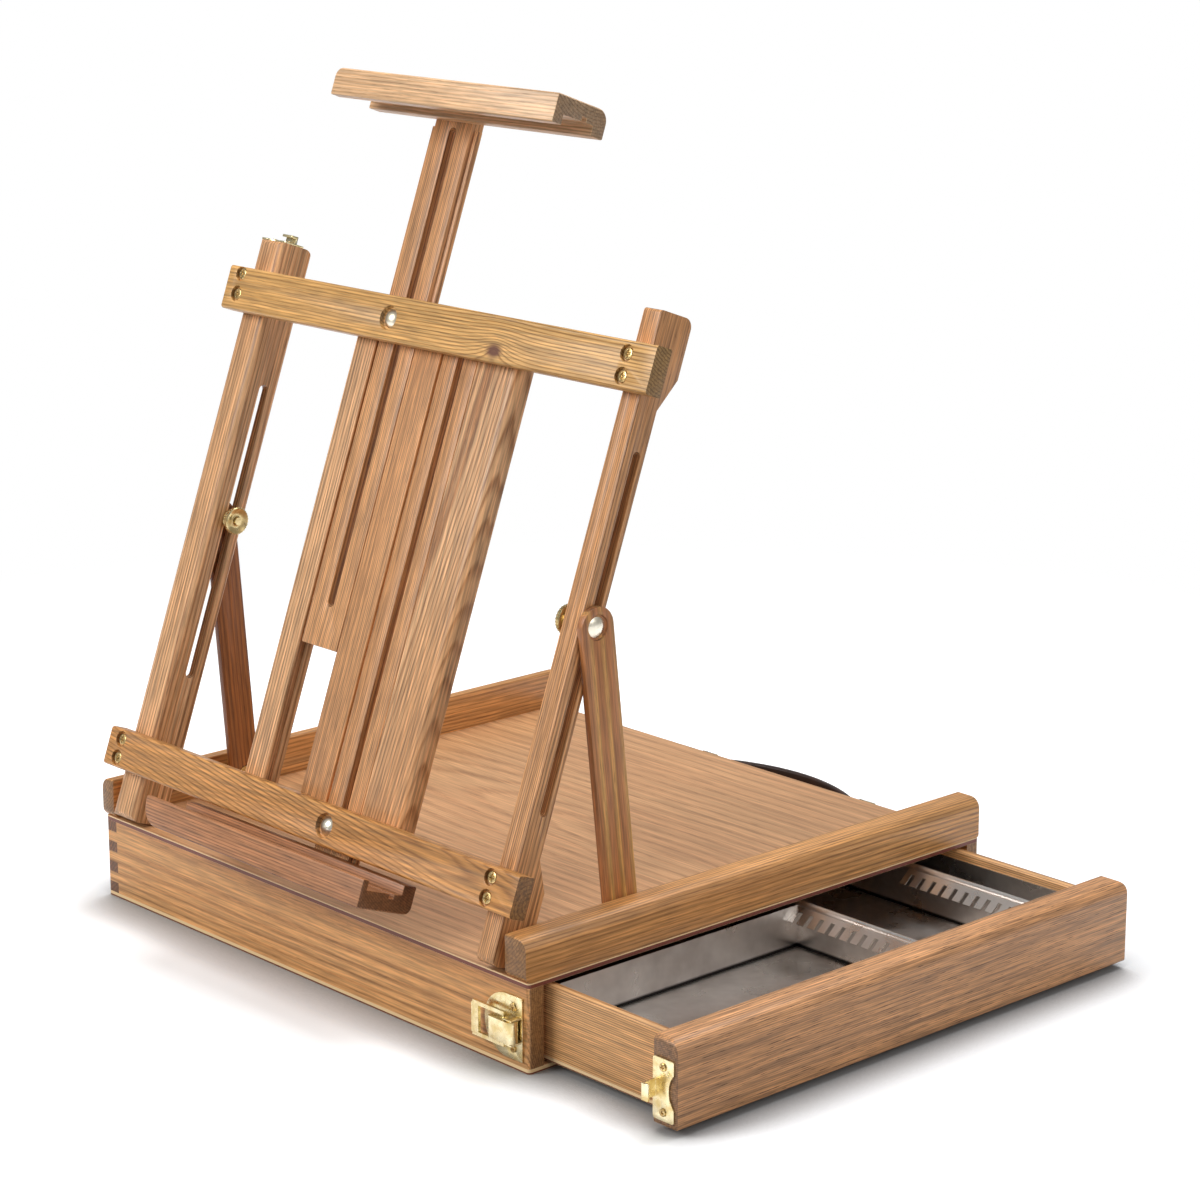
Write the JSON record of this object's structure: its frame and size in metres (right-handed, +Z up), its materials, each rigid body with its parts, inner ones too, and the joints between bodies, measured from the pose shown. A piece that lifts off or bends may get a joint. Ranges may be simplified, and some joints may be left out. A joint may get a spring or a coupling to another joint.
{
  "type": "table box easel",
  "caption": "Table-top box easel: a drawer case carrying a tilting slatted frame with sliding canvas holders.",
  "frame": {"origin": "middle of the case's underside", "axes": "+Z up, -Y towards the painter, +X the way the drawer opens"},
  "size_m": [0.5291, 0.4414, 0.5295],
  "materials": {
    "elm": "satin varnished elm, medium brown",
    "elm_pale": "satin varnished elm, pale",
    "elm_dark": "satin varnished elm, dark",
    "veneered_ply": "satin varnished veneer on plywood",
    "plated_brass": "bright plated",
    "tinplate": "bright tinned sheet",
    "saddle_leather": "dark brown, smooth"
  },
  "bodies": {
    "case": {"bottom_panel": "veneered_ply", "top_panel": "veneered_ply", "front_wall": "elm", "back_wall": "elm", "left_wall": "elm_dark", "drawer_runners": "elm", "rail_left": "elm", "rail_right": "elm", "frame_pivot_bolts": "plated_brass", "stay_pivot_bolts": "plated_brass", "handle_strap": "saddle_leather", "handle_plates": "plated_brass", "drawer_latch_plate": "plated_brass", "drawer_latch_screws": "plated_brass", "frame_latch_plate": "plated_brass", "frame_latch_screws": "plated_brass"},
    "drawer": {"drawer_front": "elm", "drawer_side_near": "elm", "drawer_side_far": "elm", "drawer_back": "elm", "drawer_bottom": "veneered_ply", "tray_bearers": "elm", "paint_tray": "tinplate", "tray_dividers": "tinplate", "brush_comb_near": "tinplate", "brush_comb_far": "tinplate", "drawer_keeper": "plated_brass", "drawer_keeper_screws": "plated_brass"},
    "tilt_frame": {"post_left": "elm", "post_right": "elm", "crossbar_upper": "elm_pale", "crossbar_lower": "elm", "crossbar_screws": "plated_brass", "carriage_bolts": "plated_brass", "strip_left": "elm", "strip_centre": "elm", "strip_right": "elm", "frame_keeper": "plated_brass", "frame_keeper_screws": "plated_brass"},
    "upper_slide": {"slat_upper": "elm", "top_clamp": "elm_pale"},
    "lower_slide": {"slat_lower": "elm", "canvas_ledge": "elm"},
    "left_stay": {"stay_left": "elm_dark", "stay_bolt_head_left": "plated_brass"},
    "right_stay": {"stay_right": "elm_dark", "stay_bolt_head_right": "plated_brass"},
    "left_clamp": {"clamp_bolt_left": "plated_brass"},
    "right_clamp": {"clamp_bolt_right": "plated_brass"},
    "left_knob": {"clamp_knob_left": "plated_brass"},
    "right_knob": {"clamp_knob_right": "plated_brass"},
    "upper_mast_knob": {"mast_knob_upper": "plated_brass"},
    "lower_mast_knob": {"mast_knob_lower": "plated_brass"},
    "drawer_lever": {"drawer_latch_lever": "plated_brass"},
    "drawer_loop": {"drawer_latch_loop": "plated_brass"},
    "frame_lever": {"frame_latch_lever": "plated_brass"},
    "frame_loop": {"frame_latch_loop": "plated_brass"}
  },
  "joints": [
    {"name": "drawer_slide", "type": "slide", "parent": "case", "child": "drawer", "axis": [1, 0, 0], "range_m": [-0.1001, 0.17]},
    {"name": "frame_tilt", "type": "hinge", "parent": "case", "child": "tilt_frame", "pos_m": [0, -0.18, 0.0685], "axis": [-1, 0, 0], "range_deg": [-4, 70]},
    {"name": "left_stay_fold", "type": "hinge", "parent": "case", "child": "left_stay", "pos_m": [0, -0.1, 0.0685], "axis": [-1, 0, 0], "range_deg": [-5.5, 95.4]},
    {"name": "right_stay_fold", "type": "hinge", "parent": "case", "child": "right_stay", "pos_m": [0, -0.1, 0.0685], "axis": [-1, 0, 0], "range_deg": [-5.6, 95.6]},
    {"name": "left_clamp_slide", "type": "slide", "parent": "tilt_frame", "child": "left_clamp", "axis": [0, 0.342, 0.9397], "range_m": [-0.004, 0.0684]},
    {"name": "right_clamp_slide", "type": "slide", "parent": "tilt_frame", "child": "right_clamp", "axis": [0, 0.342, 0.9397], "range_m": [-0.0042, 0.0711]},
    {"name": "left_knob_spin", "type": "hinge", "parent": "left_clamp", "child": "left_knob", "pos_m": [0, -0.11344, 0.24349], "axis": [1, 0, 0], "continuous": true},
    {"name": "right_knob_spin", "type": "hinge", "parent": "right_clamp", "child": "right_knob", "pos_m": [0, -0.11972, 0.24289], "axis": [1, 0, 0], "continuous": true},
    {"name": "upper_slat_slide", "type": "slide", "parent": "tilt_frame", "child": "upper_slide", "axis": [0, 0.342, 0.9397], "range_m": [-0.108, 0.17]},
    {"name": "lower_slat_slide", "type": "slide", "parent": "tilt_frame", "child": "lower_slide", "axis": [0, 0.342, 0.9397], "range_m": [-0.01, 0.0035]},
    {"name": "upper_mast_knob_spin", "type": "hinge", "parent": "tilt_frame", "child": "upper_mast_knob", "pos_m": [-0.0315, -0.06713, 0.3786], "axis": [0, 0.9397, -0.342], "continuous": true},
    {"name": "lower_mast_knob_spin", "type": "hinge", "parent": "tilt_frame", "child": "lower_mast_knob", "pos_m": [0.028, -0.17, 0.09599], "axis": [0, 0.9397, -0.342], "continuous": true},
    {"name": "drawer_latch_lever_turn", "type": "hinge", "parent": "case", "child": "drawer_lever", "pos_m": [0.1965, -0.195, 0.0253], "axis": [0, 0, 1], "range_deg": [0, 90]},
    {"name": "drawer_latch_loop_turn", "type": "hinge", "parent": "drawer_lever", "child": "drawer_loop", "pos_m": [0.1905, -0.195, 0.0253], "axis": [0, 0, 1], "range_deg": [0, 85]},
    {"name": "frame_latch_lever_turn", "type": "hinge", "parent": "case", "child": "frame_lever", "pos_m": [-0.17895, 0.195, 0.0395], "axis": [1, 0, 0], "range_deg": [0, 90]},
    {"name": "frame_latch_loop_turn", "type": "hinge", "parent": "frame_lever", "child": "frame_loop", "pos_m": [-0.17895, 0.195, 0.0335], "axis": [1, 0, 0], "range_deg": [0, 85]}
  ],
  "couplings": [
    {"joint": "left_stay_fold", "follows": "frame_tilt", "ratio": 1.361},
    {"joint": "right_stay_fold", "follows": "frame_tilt", "ratio": 1.3639},
    {"joint": "left_clamp_slide", "follows": "frame_tilt", "m_per_rad": 0.055889},
    {"joint": "right_clamp_slide", "follows": "frame_tilt", "m_per_rad": 0.058103}
  ]
}
